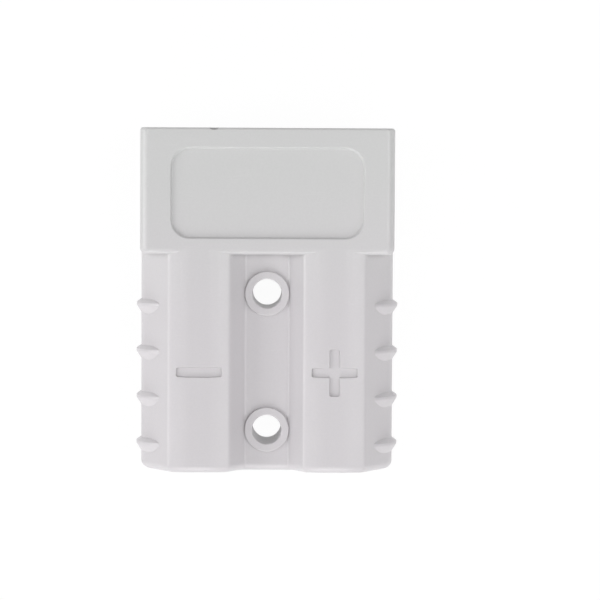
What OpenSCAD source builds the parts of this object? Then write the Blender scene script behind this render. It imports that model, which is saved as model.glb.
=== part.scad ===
// Two-pole genderless power connector: a one-piece moulded housing that mates with
// a copy of itself turned over, two crimp contacts and two leaf springs.
// +Y is the mating end, +Z is up, and the part rests on z = 0.

/* [Housing] */
// Length from the mating face to the cable end
body_l = 47.8; // [46:0.1:52]
// Width across the plain sides
body_w = 35.4; // [34.8:0.1:37]
// Thickness over the two barrels
body_h = 16; // [15.4:0.1:18]
// Distance of each pole centre from its side
pole_inset = 8.3; // [8.2:0.1:8.6]
// Width of the flat land along each barrel
crown_flat = 1.6; // [1:0.1:2.4]
// Radius of the barrel beside the flat land
crown_r = 11; // [9:0.5:16]
// Width of the crowned face of each barrel
crown_w = 8.6; // [8:0.1:9.2]
// Steepness of the barrel flanks, in degrees
flank_angle = 55; // [52:1:56]
// Radius between a crowned face and its flanks
crown_edge_r = 0.8; // [0.4:0.1:1.2]
// Radius where an outer flank turns into the side
side_r = 4; // [3:0.5:4.5]
// Depth of the valley between the barrels
valley_depth = 3.5; // [3:0.1:4]
// Radius of the edges round the cable end
rear_r = 1.1; // [0.6:0.1:1.4]

/* [Mating end] */
// Length of the hood from the mating face to its back wall
hood_l = 17.5; // [17:0.1:18.2]
// Depth by which two housings slide into each other
mate_depth = 15.3; // [14.6:0.1:15.8]
// Step from each side of the body in to the hood
hood_inset = 0.1; // [0.05:0.05:0.3]
// Thickness of the hood's top wall
hood_wall = 1.6; // [1.3:0.1:1.9]
// Radius of the hood's long top edges
hood_r = 1.2; // [0.6:0.1:1.4]
// Radius of the hood's front edge
hood_front_r = 0.3; // [0.1:0.05:0.4]
// Radius of the hood's back edge
hood_back_r = 0.9; // [0.4:0.1:1.2]
// Radius of the hood's upright front corners
hood_corner_r = 0.5; // [0.2:0.1:0.8]
// Lead-in round the mouth of each hood cavity
mouth_lead = 0.4; // [0.2:0.1:0.6]
// Wall beside each blade channel
tongue_wall = 1.4; // [1.1:0.1:1.6]
// Floor under each blade channel
tongue_floor = 1.5; // [1.2:0.1:1.8]
// Lead-in at the tip of each tongue
tongue_lead = 0.7; // [0.4:0.1:0.9]
// Radius of the long lower edges of each tongue
tongue_r = 0.8; // [0.4:0.1:1.1]
// Free space all round between two mated housings
mate_gap = 0.2; // [0.15:0.05:0.3]

/* [Contacts] */
// Length over all
contact_l = 36; // [35:0.1:38]
// Distance of the contact tips behind the mating face
contact_setback = 2; // [1.6:0.1:3]
// Width of the blade
blade_w = 9.8; // [9.2:0.1:10]
// Thickness of the blade
blade_t = 1.8; // [1.5:0.1:2]
// Bend radius at the blade tip, on the middle of the sheet
tip_r = 1.5; // [1.2:0.1:1.9]
// Height of the turned-down tip
tip_h = 3.4; // [3:0.1:3.6]
// Width of the turned-down tip
tip_w = 8.4; // [7.6:0.1:8.6]
// How far a blade stands past the mating plane
preload = 0.4; // [0.2:0.05:0.6]
// Outer diameter of the crimp barrel
crimp_od = 7.8; // [7.4:0.1:8.6]
// Wire hole of the crimp barrel
crimp_id = 5.8; // [5:0.1:6.4]
// Length of the crimp barrel
crimp_l = 11; // [10:0.1:12]
// Length over which the barrel flattens into the blade
neck_l = 4.5; // [4:0.1:5]
// Step where the barrel ends and the neck starts
neck_step = 0.1; // [0.05:0.05:0.2]
// Free space at each side of the blade
blade_side_gap = 0.2; // [0.1:0.05:0.3]
// Free space above the blade where it leaves the barrel
blade_top_gap = 0.4; // [0.2:0.05:0.6]

/* [Springs] */
// Width of the leaf
spring_w = 8; // [7:0.1:8.6]
// Thickness of the leaf
spring_t = 0.7; // [0.5:0.05:0.8]
// Depth of the leg that anchors the leaf
spring_leg = 1.5; // [1:0.1:1.7]
// Distance of the anchor leg in front of the contact shoulder
spring_back = 1.5; // [1.2:0.1:2.5]
// Free space round the leaf in its pocket and under the blade
spring_gap = 0.05; // [0.05:0.01:0.1]

/* [Cable end] */
// Diameter of the two cable entries
cable_d = 11; // [10.8:0.1:11.4]
// Diameter of the chamber round each crimp barrel
chamber_d = 10.4; // [10.2:0.1:10.7]
// Lead-in round the mouth of each cable entry
cable_lead = 0.4; // [0.2:0.1:0.5]

/* [Mounting] */
// Diameter of the two mounting holes
mount_d = 4.06; // [3.6:0.02:4.3]
// Distance of the front mounting hole from the mating face
mount_front = 23; // [22.4:0.1:24]
// Distance of the rear mounting hole from the cable end
mount_rear = 5.8; // [5:0.1:7]
// Diameter of the raised ring round each hole
boss_d = 6.2; // [5.6:0.1:6.4]
// Height of the raised ring
boss_h = 0.4; // [0.2:0.05:0.6]

/* [Grip ribs] */
// Ribs on each side
rib_count = 4; // [2:1:4]
// Distance of the first rib from the mating face
rib_front = 24.9; // [24.6:0.1:26]
// Distance of the last rib from the cable end
rib_rear = 3.4; // [2.8:0.1:4]
// Width of a rib where it leaves the side
rib_w = 2; // [1.6:0.1:2.4]
// Width of a rib's crest
rib_crest_w = 0.4; // [0.2:0.1:0.6]
// How far the crest lies in front of the rib's middle
rib_skew = 0.3; // [0:0.05:0.4]
// How far a rib stands out from the side
rib_reach = 0.7; // [0.5:0.05:0.9]
// Radius of the arc that a rib follows round the side
rib_sweep_r = 6.4; // [6:0.1:6.8]

/* [Recess, signs and gate] */
// Width of the recess on the hood
recess_w = 26.8; // [22:0.1:28]
// Length of the recess on the hood
recess_l = 12.6; // [10:0.1:12.8]
// Distance of the recess centre from the mating face
recess_centre = 9; // [8.6:0.1:9.2]
// Corner radius of the recess
recess_r = 2.6; // [1:0.1:4]
// Depth of the recess
recess_depth = 0.4; // [0.2:0.05:0.6]
// Size of a polarity sign
sign_size = 6.6; // [5:0.1:7]
// Stroke of a polarity sign
sign_stroke = 1.5; // [1:0.1:1.8]
// Depth of a polarity sign
sign_depth = 0.3; // [0.2:0.05:0.4]
// Distance of the signs from the mating face
sign_centre = 33.8; // [32:0.1:35]
// Diameter of the half-round gate notch in the hood's front edge
gate_d = 2.2; // [1.4:0.1:2.6]
// Depth of the gate notch
gate_depth = 0.3; // [0.2:0.05:0.4]
// Distance of the gate notch from the middle, towards the negative pole
gate_offset = 7.4; // [4:0.1:12]

/* [Hidden] */

$fn = 48;
arc_steps = 6;
cut = 1; // how far a cutter runs past the face that it opens
overlap = 0.1; // how far joined shapes of one piece run into each other
cap_turn = 80; // how far the rounded cable end turns before it meets the barrel inside its skin

front = body_l / 2;
rear = -front;
mid = body_h / 2;
side_x = body_w / 2;
pole_x = side_x - pole_inset;
hood_x = side_x - hood_inset;
valley_z = body_h - valley_depth;
rib_pitch = (body_l - rib_front - rib_rear) / (rib_count - 1);

// Where a crowned face ends, and where its flanks reach the valley and the side
crown_span = asin((crown_w - crown_flat) / 2 / crown_r);
crown_edge_z = body_h - crown_r * (1 - cos(crown_span));
valley_x = pole_x - crown_w / 2 - (crown_edge_z - valley_z) / tan(flank_angle);
side_z = crown_edge_z - (side_x - pole_x - crown_w / 2) * tan(flank_angle);

// The hood closes over the mate's tongue; the tongue stands in the mate's hood
channel_w = blade_w + 2 * blade_side_gap;
tongue_w = channel_w + 2 * tongue_wall;
tongue_z = hood_wall + mate_gap;
floor_z = tongue_z + tongue_floor;
cavity_w = tongue_w + 2 * mate_gap;
cavity_depth = mate_depth + mate_gap;
hood_back = front - hood_l;
shoulder_y = front - mate_depth;

// Contact, from its rear end to its tip
tip_y = front - contact_setback;
crimp_y = tip_y - contact_l;
neck_y = crimp_y + crimp_l;
blade_y = neck_y + neck_l;
blade_z = mid + preload;
seat_gap = 0.1; // between the neck and the shoulder it stops against
stop_y = blade_y + seat_gap;
entry_y = crimp_y - seat_gap; // where the cable entry steps down to the crimp chamber

// The leaf bends on a middle radius of its own thickness, and its pocket clears the bend
leg_y = stop_y + spring_back;
pocket_l = 1.5 * spring_t + 2 * spring_gap;

// Unit vector of v
function unit(v) = v / norm(v);

// v turned by an angle
function turned(v, angle) = [
    v.x * cos(angle) - v.y * sin(angle),
    v.x * sin(angle) + v.y * cos(angle)
];

// The corner b of a line that comes from a and goes on to c, rounded to radius r
function corner(a, b, c, r) =
    r == 0 ? [b] :
    let (
        back = unit(a - b),
        ahead = unit(c - b),
        half = acos(back * ahead) / 2,
        centre = b + unit(back + ahead) * r / sin(half),
        first = b + back * r / tan(half) - centre,
        turn = sign(back.y * ahead.x - back.x * ahead.y),
        sweep = (180 - 2 * half) * turn
    )
    [for (i = [0:arc_steps]) centre + turned(first, sweep * i / arc_steps)];

// The plain point of a corner written as [x, y, radius]
function spot(p) = [p.x, p.y];

// Closed outline through corners written as [x, y, radius]
function rounded(p) = [
    for (i = [0:len(p) - 1])
        each corner(spot(p[(i + len(p) - 1) % len(p)]), spot(p[i]), spot(p[(i + 1) % len(p)]), p[i].z)
];

// Open line through corners written as [x, y, radius]
function bent(p) = [
    spot(p[0]),
    for (i = [1:len(p) - 2]) each corner(spot(p[i - 1]), spot(p[i]), spot(p[i + 1]), p[i].z),
    spot(p[len(p) - 1])
];

// Sideways direction of a line at its point i
function sideways(line, i) =
    turned(unit(line[min(i + 1, len(line) - 1)] - line[max(i - 1, 0)]), 90);

// Edge view of a sheet of thickness t that is bent along a line
function sheet(line, t) = [
    for (i = [0:len(line) - 1]) line[i] + sideways(line, i) * t / 2,
    for (i = [len(line) - 1:-1:0]) line[i] - sideways(line, i) * t / 2
];

// A section drawn across the connector, pushed along Y
module along_y(from, to)
    translate([0, to, 0])
        rotate([90, 0, 0])
            linear_extrude(height = to - from)
                children();

// A side view drawn in Y and Z, pushed along X
module along_x(from, to)
    translate([from, 0, 0])
        rotate([90, 0, 90])
            linear_extrude(height = to - from)
                children();

module on_both_poles() {
    children();
    mirror([1, 0, 0]) children();
}

// ---- Barrels

// Point i of the right crown, from its flat land to the corner where the flank starts
function crown_point(side, i) =
    let (angle = crown_span * i / arc_steps)
    [
        pole_x + side * (crown_flat / 2 + crown_r * sin(angle)),
        body_h - crown_r * (1 - cos(angle)),
        i == arc_steps ? crown_edge_r : 0
    ];

// Upper half of the right barrel's outline, from the valley round to the side
function barrel_upper() = [
    [valley_x, valley_z, 0],
    for (i = [arc_steps:-1:0]) crown_point(-1, i),
    for (i = [0:arc_steps]) crown_point(1, i),
    [side_x, side_z, side_r]
];

function barrel_outline() =
    let (upper = barrel_upper())
    rounded([
        for (p = upper) p,
        for (i = [len(upper) - 1:-1:0]) [upper[i].x, body_h - upper[i].y, upper[i].z]
    ]);

// One barrel with every edge of its cable end rounded
module barrel() {
    along_y(rear + rear_r, shoulder_y) polygon(barrel_outline());
    hull()
        for (i = [0:arc_steps]) {
            turn = cap_turn * i / arc_steps;
            sunk = rear_r * (1 - sin(turn));
            along_y(rear + rear_r * (1 - cos(turn)), rear + rear_r + overlap)
                offset(delta = -sunk)
                    polygon(barrel_outline());
        }
}

// The web that joins the barrels and carries the mounting holes
module web() {
    reach = valley_x + 2 * rear_r;
    along_x(-reach, reach)
        polygon(rounded([
            [shoulder_y, body_h - valley_z, 0],
            [shoulder_y, valley_z, 0],
            [rear, valley_z, rear_r],
            [rear, body_h - valley_z, rear_r]
        ]));
}

// ---- Mating end

module hood() {
    intersection() {
        along_y(hood_back, front)
            polygon(rounded([
                [-hood_x, mid + mate_gap / 2, 0],
                [hood_x, mid + mate_gap / 2, 0],
                [hood_x, body_h, hood_r],
                [-hood_x, body_h, hood_r]
            ]));
        along_x(-side_x, side_x)
            polygon(rounded([
                [hood_back, mid, 0],
                [front, mid, 0],
                [front, body_h, hood_front_r],
                [hood_back, body_h, hood_back_r]
            ]));
        linear_extrude(height = body_h + cut)
            polygon(rounded([
                [-hood_x, hood_back, 0],
                [hood_x, hood_back, 0],
                [hood_x, front, hood_corner_r],
                [-hood_x, front, hood_corner_r]
            ]));
    }
}

// Space in the hood for one tongue of the mate, with a lead-in round its mouth
module hood_cavity() {
    back = front - cavity_depth;
    top = body_h - hood_wall;
    flare = mouth_lead + cut;
    translate([pole_x, 0, 0])
        intersection() {
            along_x(-cavity_w / 2 - flare, cavity_w / 2 + flare)
                polygon([
                    [back, mid],
                    [front + cut, mid],
                    [front + cut, top + flare],
                    [front - mouth_lead, top],
                    [back, top]
                ]);
            linear_extrude(height = body_h)
                polygon([
                    [-cavity_w / 2, back],
                    [cavity_w / 2, back],
                    [cavity_w / 2, front - mouth_lead],
                    [cavity_w / 2 + flare, front + cut],
                    [-cavity_w / 2 - flare, front + cut],
                    [-cavity_w / 2, front - mouth_lead]
                ]);
        }
}

// Half a mating face: the channel walls and the floor under one blade
module tongue() {
    root = shoulder_y - overlap;
    top = mid - mate_gap / 2;
    translate([pole_x, 0, 0])
        intersection() {
            along_y(root, front)
                polygon(rounded([
                    [-tongue_w / 2, tongue_z, tongue_r],
                    [tongue_w / 2, tongue_z, tongue_r],
                    [tongue_w / 2, top, 0],
                    [-tongue_w / 2, top, 0]
                ]));
            along_x(-tongue_w / 2, tongue_w / 2)
                polygon([
                    [root, tongue_z],
                    [front - tongue_lead, tongue_z],
                    [front, tongue_z + tongue_lead],
                    [front, top],
                    [root, top]
                ]);
            linear_extrude(height = mid)
                polygon([
                    [-tongue_w / 2, root],
                    [tongue_w / 2, root],
                    [tongue_w / 2, front - tongue_lead],
                    [tongue_w / 2 - tongue_lead, front],
                    [tongue_lead - tongue_w / 2, front],
                    [-tongue_w / 2, front - tongue_lead]
                ]);
        }
}

// Way of one blade from the barrel to the mating face, with the pocket of its spring
module blade_channel() {
    back = stop_y - overlap;
    translate([pole_x - channel_w / 2, back, floor_z])
        cube([channel_w, front + cut - back, blade_z + blade_top_gap - floor_z]);
    translate([
        pole_x - spring_w / 2 - spring_gap,
        leg_y - spring_gap,
        floor_z - spring_leg - spring_gap
    ])
        cube([spring_w + 2 * spring_gap, pocket_l, spring_leg + cut]);
}

// Cable entry with its lead-in, and the narrower chamber that ends in the stop for the neck
module cable_bore()
    translate([pole_x, 0, mid])
        rotate([-90, 0, 0])
            rotate_extrude()
                polygon([
                    [0, rear - cut],
                    [cable_d / 2 + cable_lead + cut, rear - cut],
                    [cable_d / 2, rear + cable_lead],
                    [cable_d / 2, entry_y],
                    [chamber_d / 2, entry_y],
                    [chamber_d / 2, stop_y],
                    [0, stop_y]
                ]);

// ---- Mounting holes, ribs, recess and signs

module at_mounts()
    for (y = [front - mount_front, rear + mount_rear])
        translate([0, y, 0])
            children();

module bosses()
    at_mounts()
        translate([0, 0, body_h - valley_z - boss_h])
            cylinder(d = boss_d, h = 2 * (valley_z + boss_h) - body_h);

module mount_holes()
    at_mounts()
        translate([0, 0, -cut])
            cylinder(d = mount_d, h = body_h + 2 * cut);

// One grip rib: part of a ring that leaves the side and sinks back into the flanks.
// Its front face is steep and its rear face shallow.
module rib() {
    half_turn = 72;
    root = rib_sweep_r - 2 * rib_reach;
    crest_front = rib_skew + rib_crest_w / 2;
    crest_rear = rib_skew - rib_crest_w / 2;
    translate([side_x + rib_reach - rib_sweep_r, 0, mid])
        rotate([90, 0, 0])
            rotate_extrude(angle = 2 * half_turn, start = -half_turn)
                polygon(rounded([
                    [root, crest_front - rib_w, 0],
                    [rib_sweep_r, -crest_front, rib_crest_w / 2],
                    [rib_sweep_r, -crest_rear, rib_crest_w / 2],
                    [root, rib_w + crest_rear, 0]
                ]));
}

module ribs()
    for (i = [0:rib_count - 1])
        translate([0, front - rib_front - i * rib_pitch, 0])
            rib();

// Sunk field with sloping walls
module label_recess()
    translate([0, front - recess_centre, body_h - recess_depth])
        hull()
            for (rise = [0, recess_depth + cut])
                translate([0, 0, rise])
                    linear_extrude(height = 0.01)
                        offset(r = recess_r)
                            square([
                                recess_w - 2 * recess_r - (recess_depth - min(rise, recess_depth)),
                                recess_l - 2 * recess_r - (recess_depth - min(rise, recess_depth))
                            ], center = true);

// Half-round notch where the gate was broken off
module gate_notch()
    translate([-gate_offset, front + gate_d / 2 - gate_depth, body_h - hood_wall / 2])
        cylinder(d = gate_d, h = hood_wall);

module stroke(across)
    rotate([0, 0, across ? 0 : 90])
        square([sign_size, sign_stroke], center = true);

// Signs sunk to an even depth below the crowned face
module signs()
    difference() {
        translate([0, front - sign_centre, valley_z])
            linear_extrude(height = valley_depth + cut) {
                translate([-pole_x, 0]) stroke(true);
                translate([pole_x, 0]) stroke(true);
                translate([pole_x, 0]) stroke(false);
            }
        translate([0, 0, -sign_depth])
            on_both_poles()
                along_y(rear + rear_r, shoulder_y) polygon(barrel_outline());
    }

module housing()
    color("gainsboro")
        difference() {
            union() {
                difference() {
                    union() {
                        on_both_poles() barrel();
                        web();
                        hood();
                        bosses();
                        on_both_poles() ribs();
                    }
                    on_both_poles() hood_cavity();
                }
                on_both_poles() tongue();
            }
            on_both_poles() {
                cable_bore();
                blade_channel();
            }
            mount_holes();
            label_recess();
            gate_notch();
            signs();
        }

// ---- Contacts

// Crimp barrel, turned about its own axis from the rear end forward
module crimp_barrel() {
    lead = (crimp_od - crimp_id) / 6;
    translate([0, crimp_y, mid])
        rotate([-90, 0, 0])
            rotate_extrude()
                polygon([
                    [crimp_id / 2 + lead, 0],
                    [crimp_od / 2 - lead, 0],
                    [crimp_od / 2, lead],
                    [crimp_od / 2, crimp_l],
                    [0, crimp_l],
                    [0, crimp_l - blade_t],
                    [crimp_id / 2, crimp_l - blade_t],
                    [crimp_id / 2, lead]
                ]);
}

module contact(side, finish)
    color(finish)
        translate([side * pole_x, 0, 0]) {
            crimp_barrel();
            hull() {
                translate([0, neck_y, mid])
                    rotate([90, 0, 0])
                        cylinder(d = crimp_od - 2 * neck_step, h = blade_t / 2, $fn = 32);
                translate([-blade_w / 2, blade_y - overlap, blade_z - blade_t])
                    cube([blade_w, overlap, blade_t]);
            }
            intersection() {
                along_x(-blade_w / 2, blade_w / 2)
                    polygon(sheet(bent([
                        [blade_y - overlap, blade_z - blade_t / 2, 0],
                        [tip_y - blade_t / 2, blade_z - blade_t / 2, tip_r],
                        [tip_y - blade_t / 2, blade_z - tip_h, 0]
                    ]), blade_t));
                linear_extrude(height = body_h)
                    polygon(rounded([
                        [-blade_w / 2, blade_y - cut, 0],
                        [blade_w / 2, blade_y - cut, 0],
                        [blade_w / 2, tip_y - 2 * blade_t, blade_t],
                        [tip_w / 2, tip_y - blade_t, blade_t / 4],
                        [tip_w / 2, tip_y + cut, 0],
                        [-tip_w / 2, tip_y + cut, 0],
                        [-tip_w / 2, tip_y - blade_t, blade_t / 4],
                        [-blade_w / 2, tip_y - 2 * blade_t, blade_t]
                    ]));
            }
        }

// ---- Springs

// Leaf that is anchored by a leg behind the tongue and holds the blade up at its tip
module spring(side)
    color("lightsteelblue")
        translate([side * pole_x, 0, 0]) {
            rest_z = floor_z + spring_t / 2;
            top_z = blade_z - blade_t - spring_gap - spring_t / 2;
            end_y = tip_y - blade_t - spring_t / 2 - spring_gap;
            along_x(-spring_w / 2, spring_w / 2)
                polygon(sheet(bent([
                    [leg_y + spring_t / 2, floor_z - spring_leg, 0],
                    [leg_y + spring_t / 2, rest_z, spring_t],
                    [shoulder_y + 1, rest_z, 8],
                    [end_y - 4, top_z, 4],
                    [end_y - 1.5, top_z, 1],
                    [end_y, top_z - 0.8, 0]
                ]), spring_t));
        }

module contact_positive() contact(1, "silver");
module contact_negative() contact(-1, "silver");
module spring_positive() spring(1);
module spring_negative() spring(-1);

housing();
contact_positive();
contact_negative();
spring_positive();
spring_negative();
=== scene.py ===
import math

import bmesh
import bpy
from mathutils import Matrix, Vector


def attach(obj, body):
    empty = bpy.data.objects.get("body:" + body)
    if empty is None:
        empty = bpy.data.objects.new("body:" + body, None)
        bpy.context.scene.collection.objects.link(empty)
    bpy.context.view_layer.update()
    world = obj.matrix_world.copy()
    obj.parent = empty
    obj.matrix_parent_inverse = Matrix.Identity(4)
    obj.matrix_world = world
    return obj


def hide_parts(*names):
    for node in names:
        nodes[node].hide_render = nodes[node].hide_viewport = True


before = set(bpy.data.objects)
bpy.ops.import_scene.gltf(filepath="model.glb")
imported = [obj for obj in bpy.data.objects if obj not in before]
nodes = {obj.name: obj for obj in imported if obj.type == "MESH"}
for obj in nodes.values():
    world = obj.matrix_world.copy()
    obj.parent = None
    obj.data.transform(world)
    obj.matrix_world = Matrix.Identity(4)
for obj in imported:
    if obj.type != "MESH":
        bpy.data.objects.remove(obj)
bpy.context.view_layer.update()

print("frame loaded:", sorted(nodes))

mm = 0.001

# Camera, floor and light

cameraView = {
    "place": (0.0, 18.3 * mm, 369 * mm),
    "aim": (4.54 * mm, 0.19 * mm, 16 * mm),
    "lens": 153.6,
    "sensor": 36,
    "roll": 0.3,  # degrees, turns the picture clockwise
}
studio = {
    "floorSize": 4.0,
    "floorColour": (0.93, 0.93, 0.93),
    "floorGlow": 0.96,  # plain white that the camera sees in the floor
    "floorShade": 0.055,  # share of the lit floor, with its shadows, that the camera sees
    "skyLow": 0.30,  # brightness of the room towards the horizon
    "skyHigh": 0.40,  # and higher up
    "skyTop": 0.0,  # straight above, behind the camera
    "skyRise": (0.30, 0.60),  # heights, from 0 at the horizon to 1, between which low turns to high
    "topRise": (0.84, 0.98),  # and high turns to top
    "backdropWhite": 1.0,
    "lampReach": 0.6,  # distance of each soft box from the object
    "lampSize": 0.3,
}
# azimuth counts from +X towards +Y; power is in watts
softBoxes = {
    "leftLow": {"azimuth": 180, "height": 25, "power": 1.50},
    "leftHigh": {"azimuth": 180, "height": 62, "power": 0.34},
    "rightLow": {"azimuth": 0, "height": 25, "power": 0.13},
    "rightHigh": {"azimuth": 0, "height": 62, "power": 1.21},
    "cableEnd": {"azimuth": -90, "height": 25, "power": 1.44},
}


def tidySelection():
    if bpy.context.object and bpy.context.object.mode != "OBJECT":
        bpy.ops.object.mode_set(mode="OBJECT")
    bpy.ops.object.select_all(action="DESELECT")


def placeCamera():
    bpy.ops.object.camera_add(location=cameraView["place"])
    camera = bpy.context.object
    camera.name = "viewCamera"
    sight = (Vector(cameraView["aim"]) - Vector(cameraView["place"])).normalized()
    right = sight.cross(Vector((0, 1, 0))).normalized()
    axes = Matrix((right, right.cross(sight), -sight)).transposed().to_4x4()
    turn = Matrix.Rotation(math.radians(cameraView["roll"]), 4, "Z")
    camera.matrix_world = Matrix.Translation(cameraView["place"]) @ axes @ turn
    camera.data.lens = cameraView["lens"]
    camera.data.sensor_width = cameraView["sensor"]
    camera.data.clip_start = 0.01
    camera.data.clip_end = 20
    bpy.context.scene.camera = camera


def socket(sockets, name):
    # by number, or by name among those in use, since a Mix or Map Range node has several of a name
    if isinstance(name, int):
        return sockets[name]
    return next(entry for entry in sockets if entry.name == name and entry.enabled)


def link(tree, source, output, target, entry):
    tree.links.new(socket(source.outputs, output), socket(target.inputs, entry))


def seenDirectly(tree):
    # 1 for rays from the camera, off a mirror or through glass
    path = tree.nodes.new("ShaderNodeLightPath")
    first = tree.nodes.new("ShaderNodeMath")
    first.operation = "MAXIMUM"
    second = tree.nodes.new("ShaderNodeMath")
    second.operation = "MAXIMUM"
    link(tree, path, "Is Camera Ray", first, 0)
    link(tree, path, "Is Glossy Ray", first, 1)
    link(tree, first, 0, second, 0)
    link(tree, path, "Is Transmission Ray", second, 1)
    return second


def layFloor():
    bpy.ops.mesh.primitive_plane_add(size=studio["floorSize"], location=(0, 0, 0))
    floor = bpy.context.object
    floor.name = "studioFloor"
    paper = bpy.data.materials.new("paleFloor")
    paper.use_nodes = True
    tree = paper.node_tree
    shader = tree.nodes["Principled BSDF"]
    shader.inputs["Roughness"].default_value = 0.95
    shader.inputs["Specular IOR Level"].default_value = 0.0
    shader.inputs["Emission Color"].default_value = (1, 1, 1, 1)
    seen = seenDirectly(tree)
    glow = tree.nodes.new("ShaderNodeMath")
    glow.operation = "MULTIPLY"
    glow.inputs[1].default_value = studio["floorGlow"]
    link(tree, seen, 0, glow, 0)
    link(tree, glow, 0, shader, "Emission Strength")
    lit = tree.nodes.new("ShaderNodeMix")
    lit.data_type = "RGBA"
    socket(lit.inputs, "A").default_value = (*studio["floorColour"], 1)
    socket(lit.inputs, "B").default_value = (*(studio["floorShade"] * c for c in studio["floorColour"]), 1)
    link(tree, seen, 0, lit, "Factor")
    link(tree, lit, "Result", shader, "Base Color")
    floor.data.materials.append(paper)


def bandOfSky(tree, split, heights, values):
    band = tree.nodes.new("ShaderNodeMapRange")
    band.interpolation_type = "SMOOTHSTEP"
    for entry, value in zip(("From Min", "From Max", "To Min", "To Max"), heights + values):
        socket(band.inputs, entry).default_value = value
    link(tree, split, "Z", band, "Value")
    return band


def lightStudio():
    world = bpy.data.worlds.new("studioLight")
    bpy.context.scene.world = world
    world.use_nodes = True
    tree = world.node_tree
    background = tree.nodes["Background"]
    place = tree.nodes.new("ShaderNodeTexCoord")
    split = tree.nodes.new("ShaderNodeSeparateXYZ")
    link(tree, place, "Generated", split, 0)
    low = bandOfSky(tree, split, studio["skyRise"], (studio["skyLow"], studio["skyHigh"]))
    top = bandOfSky(tree, split, studio["topRise"], (1, studio["skyTop"]))
    sky = tree.nodes.new("ShaderNodeMath")
    sky.operation = "MULTIPLY"
    link(tree, low, 0, sky, 0)
    link(tree, top, 0, sky, 1)
    path = tree.nodes.new("ShaderNodeLightPath")
    choose = tree.nodes.new("ShaderNodeMix")
    choose.inputs["B"].default_value = studio["backdropWhite"]
    link(tree, path, "Is Camera Ray", choose, "Factor")
    link(tree, sky, 0, choose, "A")
    link(tree, choose, "Result", background, "Strength")
    background.inputs["Color"].default_value = (1, 1, 1, 1)

    for name, box in softBoxes.items():
        azimuth, height = math.radians(box["azimuth"]), math.radians(box["height"])
        across = Vector((math.cos(azimuth), math.sin(azimuth), 0))
        away = across * math.cos(height) + Vector((0, 0, math.sin(height)))
        bpy.ops.object.light_add(type="AREA", location=away * studio["lampReach"])
        lamp = bpy.context.object
        lamp.name = name + "Lamp"
        lamp.data.shape = "SQUARE"
        lamp.data.size = studio["lampSize"]
        lamp.data.energy = box["power"]
        lamp.rotation_euler = (-away).to_track_quat("-Z", "Y").to_euler()


tidySelection()
placeCamera()
layFloor()
lightStudio()
bpy.context.scene.view_settings.view_transform = "Standard"
print("stage and light ready")

# Bench work: every form is shaped at 1 unit = 1 mm and brought to metres at the end


def pick(kind, test):
    bpy.ops.mesh.select_mode(type=kind)
    bpy.ops.mesh.select_all(action="DESELECT")
    shape = bmesh.from_edit_mesh(bpy.context.object.data)
    items = {"VERT": shape.verts, "EDGE": shape.edges, "FACE": shape.faces}[kind]
    chosen = 0
    for item in items:
        if test(item):
            item.select_set(True)
            chosen += 1
    shape.select_flush_mode()
    bmesh.update_edit_mesh(bpy.context.object.data)
    return chosen


def ends(edge):
    return edge.verts[0].co, edge.verts[1].co


def near(a, b, reach=0.01):
    return abs(a - b) < reach


def bothEnds(test):
    return lambda edge: all(test(point) for point in ends(edge))


def alongAxis(edge, axis):
    a, b = ends(edge)
    run = (b - a).normalized()
    return abs(abs(run[axis]) - 1) < 1e-4


def edit(obj):
    tidySelection()
    bpy.context.view_layer.objects.active = obj
    obj.select_set(True)
    bpy.ops.object.mode_set(mode="EDIT")


def leaveEdit():
    bpy.ops.object.mode_set(mode="OBJECT")


def block(name, low, high):
    tidySelection()
    low, high = Vector(low), Vector(high)
    bpy.ops.mesh.primitive_cube_add(size=1, location=(low + high) / 2)
    obj = bpy.context.object
    obj.name = name
    obj.scale = high - low
    bpy.ops.object.transform_apply(location=True, rotation=True, scale=True)
    return obj


def rod(name, centre, radius, depth, axis="Z", vertices=96):
    tidySelection()
    turn = {"Z": (0, 0, 0), "Y": (math.radians(90), 0, 0), "X": (0, math.radians(90), 0)}[axis]
    bpy.ops.mesh.primitive_cylinder_add(
        vertices=vertices, radius=radius, depth=depth, location=centre, rotation=turn)
    obj = bpy.context.object
    obj.name = name
    bpy.ops.object.transform_apply(location=True, rotation=True, scale=True)
    return obj


def roundOff(test, radius, steps, turn=90.0):
    # rounds the chosen edges to a radius, for faces that turn through an angle
    if pick("EDGE", test):
        reach = radius * math.tan(math.radians(turn / 2))
        bpy.ops.mesh.bevel(
            offset=reach, offset_type="OFFSET", segments=steps, profile=0.5, clamp_overlap=False)


def combine(body, tool, how):
    tidySelection()
    bpy.context.view_layer.objects.active = body
    body.select_set(True)
    bpy.ops.object.modifier_add(type="BOOLEAN")
    joint = body.modifiers[-1]
    joint.operation = how
    joint.solver = "MANIFOLD"
    joint.object = tool
    bpy.ops.object.modifier_apply(modifier=joint.name)
    bpy.data.objects.remove(tool, do_unlink=True)


def copyOf(obj, name):
    tidySelection()
    twin = obj.copy()
    twin.data = obj.data.copy()
    twin.name = name
    bpy.context.collection.objects.link(twin)
    return twin


def mirrored(obj, axes):
    tidySelection()
    bpy.context.view_layer.objects.active = obj
    obj.select_set(True)
    bpy.ops.object.modifier_add(type="MIRROR")
    mirror = obj.modifiers[-1]
    mirror.use_axis = [axis in axes for axis in "XYZ"]
    mirror.use_clip = True
    mirror.merge_threshold = 0.001
    bpy.ops.object.modifier_apply(modifier=mirror.name)


def shift(obj, move):
    tidySelection()
    bpy.context.view_layer.objects.active = obj
    obj.select_set(True)
    obj.location = Vector(obj.location) + Vector(move)
    bpy.ops.object.transform_apply(location=True, rotation=True, scale=True)


def dropFlats():
    # joins faces that lie in one plane
    bpy.ops.mesh.select_all(action="SELECT")
    bpy.ops.mesh.dissolve_limited(angle_limit=math.radians(0.3))


# Housing

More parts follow.
